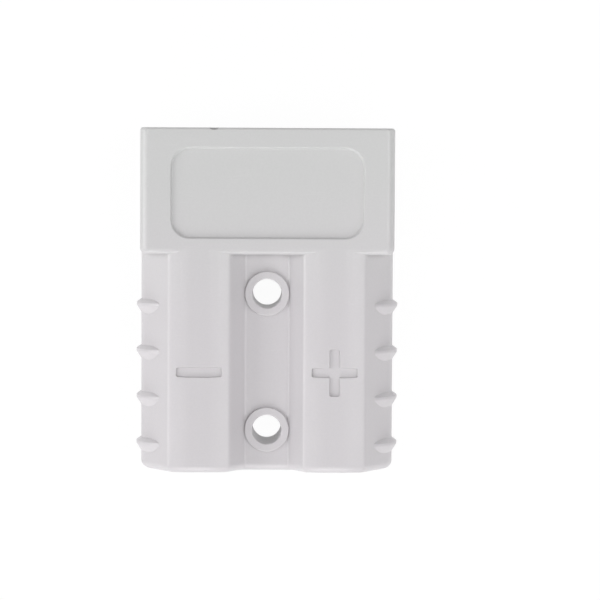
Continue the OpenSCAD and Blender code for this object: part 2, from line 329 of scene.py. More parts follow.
housingForm = {
    "front": 23.9,
    "rear": -23.9,
    "sideX": 17.7,
    "height": 16.0,
    "shoulderY": 8.6,
    "poleX": 9.4,
    "landHalf": 0.8,
    "crownRadius": 11.0,
    "crownHalf": 4.3,
    "crownSteps": 7,
    "crownEdgeRadius": 0.8,
    "crownEdgeSteps": 5,
    "flankAngle": 55.0,  # degrees down from level
    "sideRadius": 4.0,
    "sideSteps": 8,
    "valleyDepth": 3.5,
    "valleyRadius": 0.5,
    "valleySteps": 4,
    "rearRadius": 1.1,
    "rearSteps": 8,
}


def modelBarrels():
    form = housingForm
    half = form["height"] / 2
    crownSpan = math.asin((form["crownHalf"] - form["landHalf"]) / form["crownRadius"])
    edgeDrop = form["crownRadius"] * (1 - math.cos(crownSpan))
    slope = math.tan(math.radians(form["flankAngle"]))
    valleyX = form["poleX"] - form["crownHalf"] - (form["valleyDepth"] - edgeDrop) / slope
    sideDrop = edgeDrop + (form["sideX"] - form["poleX"] - form["crownHalf"]) * slope
    drops = {valleyX: form["valleyDepth"]}
    for step in range(form["crownSteps"] + 1):
        angle = crownSpan * step / form["crownSteps"]
        away = form["landHalf"] + form["crownRadius"] * math.sin(angle)
        for side in (-1, 1):
            drops[form["poleX"] + side * away] = form["crownRadius"] * (1 - math.cos(angle))

    # a quarter of the body, from the middle of the web out to the side
    body = block("housingShell", (0, form["rear"], 0), (form["sideX"], form["shoulderY"], half))
    edit(body)
    for x in sorted(drops):
        bpy.ops.mesh.select_all(action="SELECT")
        bpy.ops.mesh.bisect(plane_co=(x, 0, 0), plane_no=(1, 0, 0))
    drops[0.0] = form["valleyDepth"]
    drops[form["sideX"]] = sideDrop
    for x, drop in drops.items():
        pick("VERT", lambda v: near(v.co.x, x, 1e-3) and near(v.co.z, half))
        bpy.ops.transform.translate(value=(0, 0, -drop))
    roundOff(lambda e: alongAxis(e, 1) and near(e.verts[0].co.z, half - sideDrop)
             and near(e.verts[0].co.x, form["sideX"]),
             form["sideRadius"], form["sideSteps"], 90 - form["flankAngle"])
    pick("FACE", lambda f: (near(f.calc_center_median().x, 0) or near(f.calc_center_median().z, 0)))
    bpy.ops.mesh.delete(type="FACE")
    leaveEdit()
    mirrored(body, "XZ")
    shift(body, (0, 0, half))
    edit(body)
    bpy.ops.mesh.select_all(action="SELECT")
    bpy.ops.mesh.remove_doubles(threshold=0.002)
    dropFlats()
    # the cable end: its whole outline is rounded over
    roundOff(bothEnds(lambda p: near(p.y, form["rear"], 1e-3)), form["rearRadius"], form["rearSteps"])
    # then the corners beside the crowns and the valley, along the barrels and over that rounding
    slope = math.degrees(crownSpan) * (1 - 0.5 / form["crownSteps"])
    lean = math.radians((form["flankAngle"] + slope) / 2)
    reach = form["rearRadius"] / math.cos(math.radians((form["flankAngle"] - slope) / 2)) + 0.01

    def offTheEnd(p):
        return p.y > form["rear"] + 0.01

    def onCrownCorner(p):
        for side in (-1, 1):
            away = side * (abs(p.x) - form["poleX"]) - form["crownHalf"]
            rise = abs(p.z - half) - half + edgeDrop
            across = away * math.cos(lean) - rise * math.sin(lean)
            sunk = -away * math.sin(lean) - rise * math.cos(lean)
            if near(across, 0, 0.03) and -0.01 < sunk < reach:
                return True
        return False

    roundOff(bothEnds(lambda p: offTheEnd(p) and onCrownCorner(p)),
             form["crownEdgeRadius"], form["crownEdgeSteps"], form["flankAngle"] - slope)
    flat = math.radians(2)
    roundOff(lambda e: bothEnds(offTheEnd)(e) and not e.is_convex and e.calc_face_angle(0) > flat,
             form["valleyRadius"], form["valleySteps"], form["flankAngle"])
    pick("VERT", lambda v: v.co.y < form["rear"] + form["rearRadius"])
    bpy.ops.mesh.remove_doubles(threshold=0.02)
    leaveEdit()
    return body


def onBothSides(tool):
    # a tool made at the right pole, joined with its mirror image at the left one
    mirrored(tool, "X")
    return tool


hoodForm = {
    "halfWidth": 17.6,
    "backY": 6.4,
    "baseZ": 8.1,
    "topRadius": 1.2,
    "topSteps": 8,
    "frontRadius": 0.35,
    "frontSteps": 4,
    "backRadius": 0.9,
    "backSteps": 6,
    "cavity": ((2.7, 8.4, 8.0), (16.1, 23.5, 14.4)),
    "flare": 1.4,  # length and spread of the lead-in, which starts inside the mouth
}


def modelHood():
    form = hoodForm
    top, front, back = housingForm["height"], housingForm["front"], form["backY"]
    hood = block("hood", (-form["halfWidth"], back, form["baseZ"]), (form["halfWidth"], front, top))
    edit(hood)
    roundOff(lambda e: alongAxis(e, 1) and near(e.verts[0].co.z, top), form["topRadius"], form["topSteps"])
    roundOff(bothEnds(lambda p: near(p.y, front)), form["frontRadius"], form["frontSteps"])
    atBack, atBase = bothEnds(lambda p: near(p.y, back)), bothEnds(lambda p: near(p.z, form["baseZ"]))
    roundOff(lambda e: atBack(e) and not atBase(e), form["backRadius"], form["backSteps"])
    leaveEdit()
    return hood


def hoodCavity():
    low, high = hoodForm["cavity"]
    flare = hoodForm["flare"]
    tool = block("cavity", low, high)
    edit(tool)
    pick("FACE", lambda f: f.normal.y > 0.9)
    bpy.ops.mesh.extrude_region_move(TRANSFORM_OT_translate={"value": (0, flare, 0)})
    for sign, x in ((-1, low[0]), (1, high[0])):
        pick("VERT", lambda v: near(v.co.y, high[1] + flare) and near(v.co.x, x))
        bpy.ops.transform.translate(value=(sign * flare, 0, 0))
    pick("VERT", lambda v: near(v.co.y, high[1] + flare) and near(v.co.z, high[2]))
    bpy.ops.transform.translate(value=(0, 0, flare))
    leaveEdit()
    return onBothSides(tool)


tongueForm = {
    "low": (2.9, 8.5, 1.8),
    "high": (15.9, 23.9, 7.9),
    "edgeRadius": 0.8,
    "edgeSteps": 6,
    "lead": 0.7,
}


def modelTongue():
    form = tongueForm
    (x0, y0, z0), (x1, y1, z1) = form["low"], form["high"]
    tongue = block("tongue", form["low"], form["high"])
    edit(tongue)
    roundOff(lambda e: alongAxis(e, 1) and near(e.verts[0].co.z, z0), form["edgeRadius"], form["edgeSteps"])
    atTip, atTop = bothEnds(lambda p: near(p.y, y1)), bothEnds(lambda p: near(p.z, z1))
    pick("EDGE", lambda e: atTip(e) and not atTop(e))
    bpy.ops.mesh.bevel(offset=form["lead"], segments=1, clamp_overlap=False)
    leaveEdit()
    return onBothSides(tongue)


channelForm = {
    "channel": ((4.3, 1.4, 3.3), (14.5, 24.9, 8.8)),
    "springPocket": ((5.35, 2.95, 1.75), (13.45, 4.1, 4.0)),
    "chamberRadius": 5.2,
    "stopY": 1.5,
    "entryRadius": 5.5,
    "entryY": -14.2,
    "entryLead": 0.4,
}


def openPoleWays(body):
    form = channelForm
    rear, poleX, midZ = housingForm["rear"], housingForm["poleX"], housingForm["height"] / 2
    for name in ("channel", "springPocket"):
        combine(body, onBothSides(block(name, *form[name])), "DIFFERENCE")
    depth = form["stopY"] - rear - 1
    chamber = rod("chamber", (poleX, form["stopY"] - depth / 2, midZ), form["chamberRadius"], depth, "Y")
    combine(body, onBothSides(chamber), "DIFFERENCE")
    start = rear + form["entryLead"]
    depth = form["entryY"] - start
    entry = rod("entry", (poleX, form["entryY"] - depth / 2, midZ), form["entryRadius"], depth, "Y")
    edit(entry)
    pick("FACE", lambda f: f.normal.y < -0.9)
    flare = 2 * form["entryLead"]
    bpy.ops.mesh.extrude_region_move(TRANSFORM_OT_translate={"value": (0, -flare, 0)})
    grow = 1 + flare / form["entryRadius"]
    bpy.ops.transform.resize(value=(grow, 1, grow), center_override=(poleX, start - flare, midZ))
    leaveEdit()
    combine(body, onBothSides(entry), "DIFFERENCE")


mountForm = {
    "places": (0.9, -18.1),
    "bossRadius": 3.1,
    "bossHalf": 4.9,
    "holeRadius": 2.03,
    "rimRadius": 0.16,
    "rimSteps": 4,
    "holeRimSteps": 3,
}


def addMounts(body):
    form = mountForm
    midZ = housingForm["height"] / 2
    for y in form["places"]:
        boss = rod("boss", (0, y, midZ), form["bossRadius"], 2 * form["bossHalf"])
        edit(boss)
        roundOff(lambda e: near(e.verts[0].co.z, e.verts[1].co.z), form["rimRadius"], form["rimSteps"])
        leaveEdit()
        combine(body, boss, "UNION")
        hole = rod("hole", (0, y, midZ), form["holeRadius"], housingForm["height"] + 2)
        combine(body, hole, "DIFFERENCE")


def softenHoleRims(body):
    form = mountForm
    edit(body)
    midZ = housingForm["height"] / 2
    for y in form["places"]:
        for side in (-1, 1):
            roundOff(bothEnds(lambda p: near(p.z, midZ + side * form["bossHalf"], 1e-3)
                              and near(math.hypot(p.x, p.y - y), form["holeRadius"], 0.02)),
                     form["rimRadius"], form["holeRimSteps"])
    leaveEdit()


ribForm = {
    "places": (-1.0, -7.5, -14.0, -20.5),
    "ringX": 12.0,
    "crest": 6.39,  # radius of the crest about the middle of its ring
    "reach": 0.7,
    "width": 2.0,
    "crestWidth": 0.4,
    "skew": 0.3,  # the crest lies this far in front of the middle
    "crestSoftness": 0.09,
    "crestSteps": 3,
    "ringSteps": 120,
}


def addRibs(body):
    # a pointed profile is spun into a ring, and the ring sinks back into the flanks
    form = ribForm
    root, halfCrest = form["crest"] - 2 * form["reach"], form["crestWidth"] / 2
    midZ = housingForm["height"] / 2
    for y in form["places"]:
        crestY = y + form["skew"]
        tidySelection()
        middle = form["ringX"] + form["crest"] - form["reach"]
        bpy.ops.mesh.primitive_plane_add(size=1, location=(middle, crestY, midZ))
        rib = bpy.context.object
        rib.scale = (2 * form["reach"], form["crestWidth"], 1)
        bpy.ops.object.transform_apply(location=True, rotation=True, scale=True)
        edit(rib)
        pick("VERT", lambda v: near(v.co.x, form["ringX"] + root))
        spread = (form["width"] - halfCrest) / halfCrest
        bpy.ops.transform.resize(value=(1, spread, 1), center_override=(0, crestY, midZ))
        bpy.ops.transform.translate(value=(0, -2 * form["skew"], 0))
        pick("VERT", lambda v: near(v.co.x, form["ringX"] + form["crest"]))
        bpy.ops.mesh.bevel(offset=form["crestSoftness"], segments=form["crestSteps"], affect="VERTICES")
        bpy.ops.mesh.select_all(action="SELECT")
        bpy.ops.mesh.delete(type="ONLY_FACE")
        bpy.ops.mesh.select_all(action="SELECT")
        bpy.ops.mesh.spin(steps=form["ringSteps"], angle=math.radians(360),
                          center=(form["ringX"], y, midZ), axis=(0, 1, 0))
        bpy.ops.mesh.select_all(action="SELECT")
        bpy.ops.mesh.remove_doubles(threshold=0.001)
        bpy.ops.mesh.normals_make_consistent(inside=False)
        leaveEdit()
        combine(body, onBothSides(rib), "UNION")


recessForm = {
    "centreY": 14.9,
    "floor": (26.4, 12.2),
    "mouth": (26.8, 12.6),
    "depth": 0.4,
    "cornerRadius": 2.6,
    "cornerSteps": 12,
    "rimRadius": 0.1,
    "rimSteps": 3,
    "rootRadius": 0.06,
    "rootSteps": 2,
    "sharp": 35.0,  # edges that turn by more degrees than this are rounded
}


def roundRims(body, low, high, radius, steps, convex=True):
    # rounds the sharp edges inside a box: the rims, or the roots where two faces meet in a hollow
    edit(body)
    inside = bothEnds(lambda p: all(a - 0.01 < q < b + 0.01 for q, a, b in zip(p, low, high)))
    sharp = math.radians(recessForm["sharp"])
    roundOff(lambda e: inside(e) and len(e.link_faces) == 2 and e.calc_face_angle() > sharp
             and e.is_convex == convex, radius, steps)
    leaveEdit()


def sinkRecess(body):
    form = recessForm
    top, y = housingForm["height"], form["centreY"]
    halfX, halfY = form["floor"][0] / 2, form["floor"][1] / 2
    tool = block("recess", (-halfX, y - halfY, top - form["depth"]), (halfX, y + halfY, top))
    edit(tool)
    roundOff(lambda e: alongAxis(e, 2), form["cornerRadius"], form["cornerSteps"])
    pick("VERT", lambda v: near(v.co.z, top))
    bpy.ops.transform.resize(
        value=(form["mouth"][0] / form["floor"][0], form["mouth"][1] / form["floor"][1], 1),
        center_override=(0, y, top))
    pick("FACE", lambda f: f.normal.z > 0.9)
    bpy.ops.mesh.extrude_region_move(TRANSFORM_OT_translate={"value": (0, 0, 1)})
    leaveEdit()
    combine(body, tool, "DIFFERENCE")
    halfX, halfY = form["mouth"][0] / 2, form["mouth"][1] / 2
    field = (-halfX, y - halfY, top - form["depth"]), (halfX, y + halfY, top)
    roundRims(body, *field, form["rimRadius"], form["rimSteps"])
    roundRims(body, *field, form["rootRadius"], form["rootSteps"], convex=False)


signForm = {
    "y": -9.9,
    "size": 6.6,
    "stroke": 1.5,
    "depth": 0.3,
    "cornerRadius": 0.25,
    "cornerSteps": 4,
    "draft": 22.0,  # lean of the walls, in degrees
}


def signBar(x, across):
    form = signForm
    y, top = form["y"], housingForm["height"]
    halfX, halfY = form["size"] / 2, form["stroke"] / 2
    if not across:
        halfX, halfY = halfY, halfX
    bar = block("bar", (x - halfX, y - halfY, top - 1), (x + halfX, y + halfY, top))
    edit(bar)
    roundOff(lambda e: alongAxis(e, 2), form["cornerRadius"], form["cornerSteps"])
    lean = math.tan(math.radians(form["draft"]))
    pick("FACE", lambda f: f.normal.z < -0.9)
    bpy.ops.transform.resize(value=(1 - lean / halfX, 1 - lean / halfY, 1), center_override=(x, y, top - 1))
    pick("FACE", lambda f: f.normal.z > 0.9)
    bpy.ops.mesh.extrude_region_move(TRANSFORM_OT_translate={"value": (0, 0, 1)})
    leaveEdit()
    return bar


def sinkSigns(body, barrels):
    # the floor of each sign follows the crown above it
    form = signForm
    poleX = housingForm["poleX"]
    plus = signBar(poleX, True)
    combine(plus, signBar(poleX, False), "UNION")
    for sign in (signBar(-poleX, True), plus):
        lowered = copyOf(barrels, "lowered")
        shift(lowered, (0, 0, -form["depth"]))
        combine(sign, lowered, "DIFFERENCE")
        combine(body, sign, "DIFFERENCE")


gateForm = {"x": -7.4, "radius": 1.1, "depth": 0.3, "height": 0.8}


def cutGate(body):
    form = gateForm
    top, front = housingForm["height"], housingForm["front"]
    notch = rod("gate", (form["x"], front + form["radius"] - form["depth"], top),
                form["radius"], 2 * form["height"], vertices=48)
    combine(body, notch, "DIFFERENCE")


def modelHousing():
    body = modelBarrels()
    barrels = copyOf(body, "barrels")
    addRibs(body)
    combine(body, modelHood(), "UNION")
    combine(body, hoodCavity(), "DIFFERENCE")
    combine(body, modelTongue(), "UNION")
    addMounts(body)
    openPoleWays(body)
    sinkRecess(body)
    sinkSigns(body, barrels)
    cutGate(body)
    bpy.data.objects.remove(barrels, do_unlink=True)
    softenHoleRims(body)
    return body


# Contacts and springs: a sheet's end face is pushed along its path, run after bend

sheetForm = {"edgeSteps": 3, "bendSteps": 10, "sharp": 40.0}


def pushAlong(place, heading, path):
    # each step is a straight run, a turn in degrees and the radius of that turn
    y, z = place
    for run, turn, radius in path:
        ahead = Vector((0, math.cos(heading), math.sin(heading)))
        if run:
            bpy.ops.mesh.extrude_region_move(TRANSFORM_OT_translate={"value": ahead * run})
            y, z = y + ahead.y * run, z + ahead.z * run
        if turn:
            side = math.copysign(radius, turn)
            pivot = Vector((0, y - side * ahead.z, z + side * ahead.y))
            sweep = math.radians(turn)
            steps = max(3, round(sheetForm["bendSteps"] * abs(turn) / 90))
            bpy.ops.mesh.spin(steps=steps, angle=-sweep, center=pivot, axis=(1, 0, 0))
            heading += sweep
            y, z = pivot.y + side * math.sin(heading), pivot.z - side * math.cos(heading)


def softenSheet(obj, radius):
    edit(obj)
    bpy.ops.mesh.select_all(action="SELECT")
    bpy.ops.mesh.remove_doubles(threshold=0.001)
    bpy.ops.mesh.normals_make_consistent(inside=False)
    sharp = math.radians(sheetForm["sharp"])
    roundOff(lambda e: len(e.link_faces) == 2 and e.calc_face_angle() > sharp,
             radius, sheetForm["edgeSteps"])
    leaveEdit()


contactForm = {
    "rear": -14.1,
    "barrelLength": 11.0,
    "barrelRadius": 3.9,
    "boreRadius": 2.9,
    "boreDepth": 9.2,
    "rimRadius": 0.33,
    "rimSteps": 5,
    "neckRadius": 3.8,
    "neckSteps": 9,
    "neckVertices": 48,
    "neckCuts": (19, 3),  # across and through the sheet, so that both rings have as many vertices
    "neckInset": 0.01,
    "bladeY": 1.4,
    "bladeTop": 8.4,
    "bladeWidth": 9.8,
    "bladeThickness": 1.8,
    "tipY": 21.9,
    "tipRadius": 1.5,  # on the middle of the sheet
    "tipHeight": 3.4,
    "tipHalf": 4.2,
    "shoulderY": 18.3,
    "shoulderRadius": 1.8,
    "cornerRadius": 0.45,
    "planSteps": 3,
    "edgeRadius": 0.22,
    "overlap": 0.12,  # how far barrel, neck and blade run into each other
}


def modelCrimpBarrel():
    form = contactForm
    midZ = housingForm["height"] / 2
    centre = form["rear"] + form["barrelLength"] / 2
    barrel = rod("contact", (0, centre, midZ), form["barrelRadius"], form["barrelLength"], "Y")
    edit(barrel)
    pick("FACE", lambda f: f.normal.y < -0.9)
    bpy.ops.mesh.inset(thickness=form["barrelRadius"] - form["boreRadius"])
    bpy.ops.mesh.extrude_region_move(TRANSFORM_OT_translate={"value": (0, form["boreDepth"], 0)})
    bottom = form["rear"] + form["boreDepth"]
    roundOff(lambda e: near(e.verts[0].co.y, e.verts[1].co.y) and not near(e.verts[0].co.y, bottom)
             and e.calc_face_angle(0) > 1, form["rimRadius"], form["rimSteps"])
    leaveEdit()
    return barrel


def modelBlade():
    form = contactForm
    half, thick = form["bladeWidth"] / 2, form["bladeThickness"]
    low, top = form["bladeTop"] - thick, form["bladeTop"]
    bendY = form["tipY"] - thick / 2 - form["tipRadius"]
    blade = block("blade", (-half, form["bladeY"], low), (half, form["bladeY"] + 1, top))
    edit(blade)
    pick("FACE", lambda f: f.normal.y > 0.9)
    drop = form["tipHeight"] - thick / 2 - form["tipRadius"]
    pushAlong((form["bladeY"] + 1, top - thick / 2), 0.0,
              ((bendY - form["bladeY"] - 1, -90, form["tipRadius"]), (drop, 0, 0)))
    leaveEdit()
    # the plan narrows towards the tip
    plan = block("plan", (-half, form["bladeY"] - 1, 0), (half, form["shoulderY"], housingForm["height"]))
    edit(plan)
    pick("FACE", lambda f: f.normal.y > 0.9)
    ratio = form["tipHalf"] / half
    for run, grow in ((thick, ratio), (form["tipY"] - form["shoulderY"] - thick + 1, 1)):
        bpy.ops.mesh.extrude_region_move(TRANSFORM_OT_translate={"value": (0, run, 0)})
        bpy.ops.transform.resize(value=(grow, 1, 1), center_override=(0, 0, 0))
    taper = math.degrees(math.atan2(half - form["tipHalf"], thick))
    start = form["shoulderY"]
    for y, radius in ((start, form["shoulderRadius"]), (start + thick, form["cornerRadius"])):
        roundOff(lambda e: alongAxis(e, 2) and near(e.verts[0].co.y, y), radius, form["planSteps"], taper)
    leaveEdit()
    combine(blade, plan, "INTERSECT")
    softenSheet(blade, form["edgeRadius"])
    return blade


def modelNeck():
    # a ring of the barrel, flattened step by step into the section of the blade
    form = contactForm
    midZ = housingForm["height"] / 2
    start = form["rear"] + form["barrelLength"] - form["overlap"]
    end = form["bladeY"] + form["overlap"]
    bladeZ = form["bladeTop"] - form["bladeThickness"] / 2
    tidySelection()
    bpy.ops.mesh.primitive_plane_add(size=1, location=(0, end, bladeZ), rotation=(math.radians(90), 0, 0))
    neck = bpy.context.object
    neck.name = "neck"
    inset = 2 * form["neckInset"]
    neck.scale = (form["bladeWidth"] - inset, form["bladeThickness"] - inset, 1)
    bpy.ops.object.transform_apply(location=True, rotation=True, scale=True)
    edit(neck)
    for axis, cuts in zip((0, 2), form["neckCuts"]):
        pick("EDGE", lambda e: alongAxis(e, axis) and len(e.link_faces) == 1)
        bpy.ops.mesh.subdivide(number_cuts=cuts)
    pick("EDGE", lambda e: len(e.link_faces) == 2)
    bpy.ops.mesh.delete(type="EDGE_FACE")
    bpy.ops.mesh.select_all(action="DESELECT")
    bpy.ops.mesh.primitive_circle_add(
        vertices=form["neckVertices"], radius=form["neckRadius"], location=(0, start, midZ),
        rotation=(math.radians(90), 0, 0))
    bpy.ops.mesh.select_all(action="SELECT")
    bpy.ops.mesh.bridge_edge_loops(number_cuts=form["neckSteps"], interpolation="PATH", smoothness=0.8)
    for y in (start, end):
        pick("EDGE", bothEnds(lambda p: near(p.y, y, 1e-3)))
        bpy.ops.mesh.edge_face_add()
    bpy.ops.mesh.select_all(action="SELECT")
    bpy.ops.mesh.normals_make_consistent(inside=False)
    leaveEdit()
    return neck


def modelContact():
    contact = modelCrimpBarrel()
    combine(contact, modelNeck(), "UNION")
    combine(contact, modelBlade(), "UNION")
    return contact


springForm = {
    # foot, corners and end are Y and Z on the middle of the leaf; a corner's third value is its bend
    "width": 8.0,
    "thickness": 0.7,
    "foot": (3.35, 1.8),
    "corners": ((3.35, 3.65, 0.7), (9.6, 3.65, 8.0), (15.7, 6.2, 4.0), (18.2, 6.2, 1.0)),
    "end": (19.7, 5.4),
    "cornerRadius": 0.5,
    "cornerSteps": 4,
    "edgeRadius": 0.1,
}


def springPath():
    # straight runs and turns that lead round the corners of the leaf
    form = springForm
    spots = [form["foot"], *form["corners"], form["end"]]
    headings = [math.atan2(b[1] - a[1], b[0] - a[0]) for a, b in zip(spots, spots[1:])]
    turns = [b - a for a, b in zip(headings, headings[1:])]
    radii = [corner[2] for corner in form["corners"]]
    reaches = [0, *(radius * math.tan(abs(turn) / 2) for radius, turn in zip(radii, turns)), 0]
    path = []
    for i, (a, b) in enumerate(zip(spots, spots[1:])):
        run = math.dist(a[:2], b[:2]) - reaches[i] - reaches[i + 1]
        turn = math.degrees(turns[i]) if i < len(turns) else 0
        path.append((run, turn, radii[i] if i < len(radii) else 0))
    return path


def modelSpring():
    form = springForm
    half, thick = form["width"] / 2, form["thickness"] / 2
    y, z = form["foot"]
    path = springPath()
    first = path[0][0] / 2
    leaf = block("spring", (-half, y - thick, z), (half, y + thick, z + first))
    edit(leaf)
    pick("FACE", lambda f: f.normal.z > 0.9)
    pushAlong((y, z + first), math.radians(90), [(path[0][0] - first, *path[0][1:]), *path[1:]])
    roundOff(lambda e: not alongAxis(e, 0) and e.calc_length() < 2.1 * thick
             and (near(e.verts[0].co.z, z) or bothEnds(lambda p: p.y > form["end"][0] - thick)(e))
             and near(abs(e.verts[0].co.x), half), form["cornerRadius"], form["cornerSteps"])
    leaveEdit()
    softenSheet(leaf, form["edgeRadius"])
    return leaf


def toMetres(obj):
    tidySelection()
    bpy.context.view_layer.objects.active = obj
    obj.select_set(True)
    obj.scale = (mm, mm, mm)
    bpy.ops.object.transform_apply(location=True, rotation=True, scale=True)


def smoothSkin(obj, angle):
    tidySelection()
    bpy.context.view_layer.objects.active = obj
    obj.select_set(True)
    bpy.ops.object.shade_smooth_by_angle(angle=math.radians(angle))
    bpy.ops.object.modifier_add(type="WEIGHTED_NORMAL")
    weighting = obj.modifiers[-1]
    weighting.keep_sharp = True
    bpy.ops.object.modifier_apply(modifier=weighting.name)


def fit(obj, node, material):
    obj.data.materials.clear()
    obj.data.materials.append(material)
    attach(obj, "root")
    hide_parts(node)


# Shader groups, built once and placed in the finishes with their own values. Their patterns are
# measured in mm, and the reaches of edges and hollows in metres.


def addNode(tree, kind, values=None, feeds=None, **settings):
    node = tree.nodes.new("ShaderNode" + kind)
    for key, value in settings.items():
        setattr(node, key, value)
    for entry, value in (values or {}).items():
        socket(node.inputs, entry).default_value = value
    for entry, (source, output) in (feeds or {}).items():
        link(tree, source, output, node, entry)
    return node


def newGroup(name, inputs, outputs):
    # each input is a name with its starting value, which also tells its kind
    tree = bpy.data.node_groups.new(name, "ShaderNodeTree")
    for label, value in inputs.items():
        kind = "Float" if isinstance(value, float) else "Color" if len(value) == 4 else "Vector"
        entry = tree.interface.new_socket(name=label, in_out="INPUT", socket_type="NodeSocket" + kind)
        entry.default_value = value
    for label, kind in outputs.items():
        tree.interface.new_socket(name=label, in_out="OUTPUT", socket_type="NodeSocket" + kind)
    return tree, tree.nodes.new("NodeGroupInput"), tree.nodes.new("NodeGroupOutput")


def scaled(tree, start, size):
    # pattern coordinates for features of a given size
    count = addNode(tree, "Math", {0: 1.0}, {1: (start, size)}, operation="DIVIDE")
    return addNode(tree, "VectorMath", feeds={0: (start, "Vector"), "Scale": (count, 0)}, operation="SCALE")


def limits(tree, source, output, low, high, toLow=0.0, toHigh=1.0):
    # a soft step from one value to another between two limits
    return addNode(tree, "MapRange", {"From Min": low, "From Max": high, "To Min": toLow, "To Max": toHigh},
                   {"Value": (source, output)}, interpolation_type="SMOOTHSTEP")


def times(tree, first, second):
    return addNode(tree, "Math", feeds={0: first, 1: second}, operation="MULTIPLY")


def cloudGroup():
    # soft uneven patches, from 0 to 1
    tree, start, end = newGroup("softClouds", {"Vector": (0.0, 0.0, 0.0), "Size": 5.0}, {"Mask": "Float"})
    place = scaled(tree, start, "Size")
    noise = addNode(tree, "TexNoise", {"Scale": 1.0, "Detail": 4.0, "Roughness": 0.55},
                    {"Vector": (place, 0)})
    link(tree, limits(tree, noise, 0, 0.3, 0.7), 0, end, "Mask")
    return tree


def grainGroup():
    # the fine skin a spark-eroded mould leaves: shallow pits over a slow waviness
    tree, start, end = newGroup("mouldGrain", {"Vector": (0.0, 0.0, 0.0), "Size": 0.3, "Waviness": 0.5},
                                {"Height": "Float", "Pits": "Float"})
    place = scaled(tree, start, "Size")
    fine = addNode(tree, "TexNoise", {"Scale": 1.0, "Detail": 2.0, "Roughness": 0.6},
                   {"Vector": (place, 0)})
    slow = addNode(tree, "TexNoise", {"Scale": 0.08, "Detail": 1.0}, {"Vector": (place, 0)})
    swell = addNode(tree, "Math", feeds={0: (slow, 0), 1: (start, "Waviness")}, operation="MULTIPLY")
    height = addNode(tree, "Math", feeds={0: (fine, 0), 1: (swell, 0)}, operation="ADD")
    link(tree, height, 0, end, "Height")
    link(tree, limits(tree, fine, 0, 0.35, 0.65), 0, end, "Pits")
    return tree


def edgeGroup():
    # masks of rubbed edges and of hollows, found by ambient occlusion and broken up by noise; the hollow
    # mask carries painted shade on the plastic and tarnish on the plating
    tree, start, end = newGroup(
        "edgesAndHollows",
        {"Vector": (0.0, 0.0, 0.0), "Edge Reach": 0.4 * mm, "Hollow Reach": 1.0 * mm, "Patch Size": 2.0},
        {"Edges": "Float", "Shaded And Tarnished Hollows": "Float"})
    place = scaled(tree, start, "Patch Size")
    noise = addNode(tree, "TexNoise", {"Scale": 1.0, "Detail": 3.0}, {"Vector": (place, 0)})
    # the hollow mask follows occlusion, so where it darkens a colour it paints shade into the surface
    for label, inside, reach, low in (
            ("Edges", True, "Edge Reach", 0.25), ("Shaded And Tarnished Hollows", False, "Hollow Reach", 0.6)):
        room = addNode(tree, "AmbientOcclusion", feeds={"Distance": (start, reach)},
                       inside=inside, only_local=True, samples=8)
        close = limits(tree, room, "AO", 0.95, 0.45)
        patches = limits(tree, noise, 0, 0.35, 0.65, low, 1.0)
        link(tree, times(tree, (close, 0), (patches, 0)), 0, end, label)
    return tree


def marksGroup():
    # short fine scratches that run two ways, only here and there
    tree, start, end = newGroup("handlingMarks", {"Vector": (0.0, 0.0, 0.0), "Length": 4.0, "Cover": 0.5},
                                {"Mask": "Float"})
    place = scaled(tree, start, "Length")
    ways = []
    for turn in (35, -58):
        tilt = (0.3, 0.2, math.radians(turn))
        turned = addNode(tree, "Mapping", {"Rotation": tilt, "Scale": (1.0, 26.0, 26.0)},
                         {"Vector": (place, 0)})
        lines = addNode(tree, "TexNoise", {"Scale": 1.0, "Detail": 1.0}, {"Vector": (turned, 0)})
        ways.append(limits(tree, lines, 0, 0.68, 0.74))
    both = addNode(tree, "Math", feeds={0: (ways[0], 0), 1: (ways[1], 0)}, operation="MAXIMUM")
    area = addNode(tree, "TexNoise", {"Scale": 0.7, "Detail": 1.0}, {"Vector": (place, 0)})
    share = addNode(tree, "Math", feeds={0: (area, 0), 1: (start, "Cover")}, operation="MULTIPLY")
    seen = limits(tree, share, 0, 0.22, 0.34)
    link(tree, times(tree, (both, 0), (seen, 0)), 0, end, "Mask")
    return tree


def rollingGroup():
    # lines that rolling and drawing leave along a strip of metal
    tree, start, end = newGroup("rollingLines", {"Vector": (0.0, 0.0, 0.0), "Width": 0.12, "Stretch": 40.0},
                                {"Height": "Float", "Tone": "Float"})
    place = scaled(tree, start, "Width")
    slow = addNode(tree, "Math", {0: 1.0}, {1: (start, "Stretch")}, operation="DIVIDE")
    drawn = addNode(tree, "CombineXYZ", {"X": 1.0, "Z": 1.0}, {"Y": (slow, 0)})
    along = addNode(tree, "VectorMath", feeds={0: (place, 0), 1: (drawn, 0)}, operation="MULTIPLY")
    lines = addNode(tree, "TexNoise", {"Scale": 1.0, "Detail": 3.0, "Roughness": 0.6},
                    {"Vector": (along, 0)})
    link(tree, lines, 0, end, "Height")
    link(tree, limits(tree, lines, 0, 0.3, 0.7), 0, end, "Tone")
    return tree


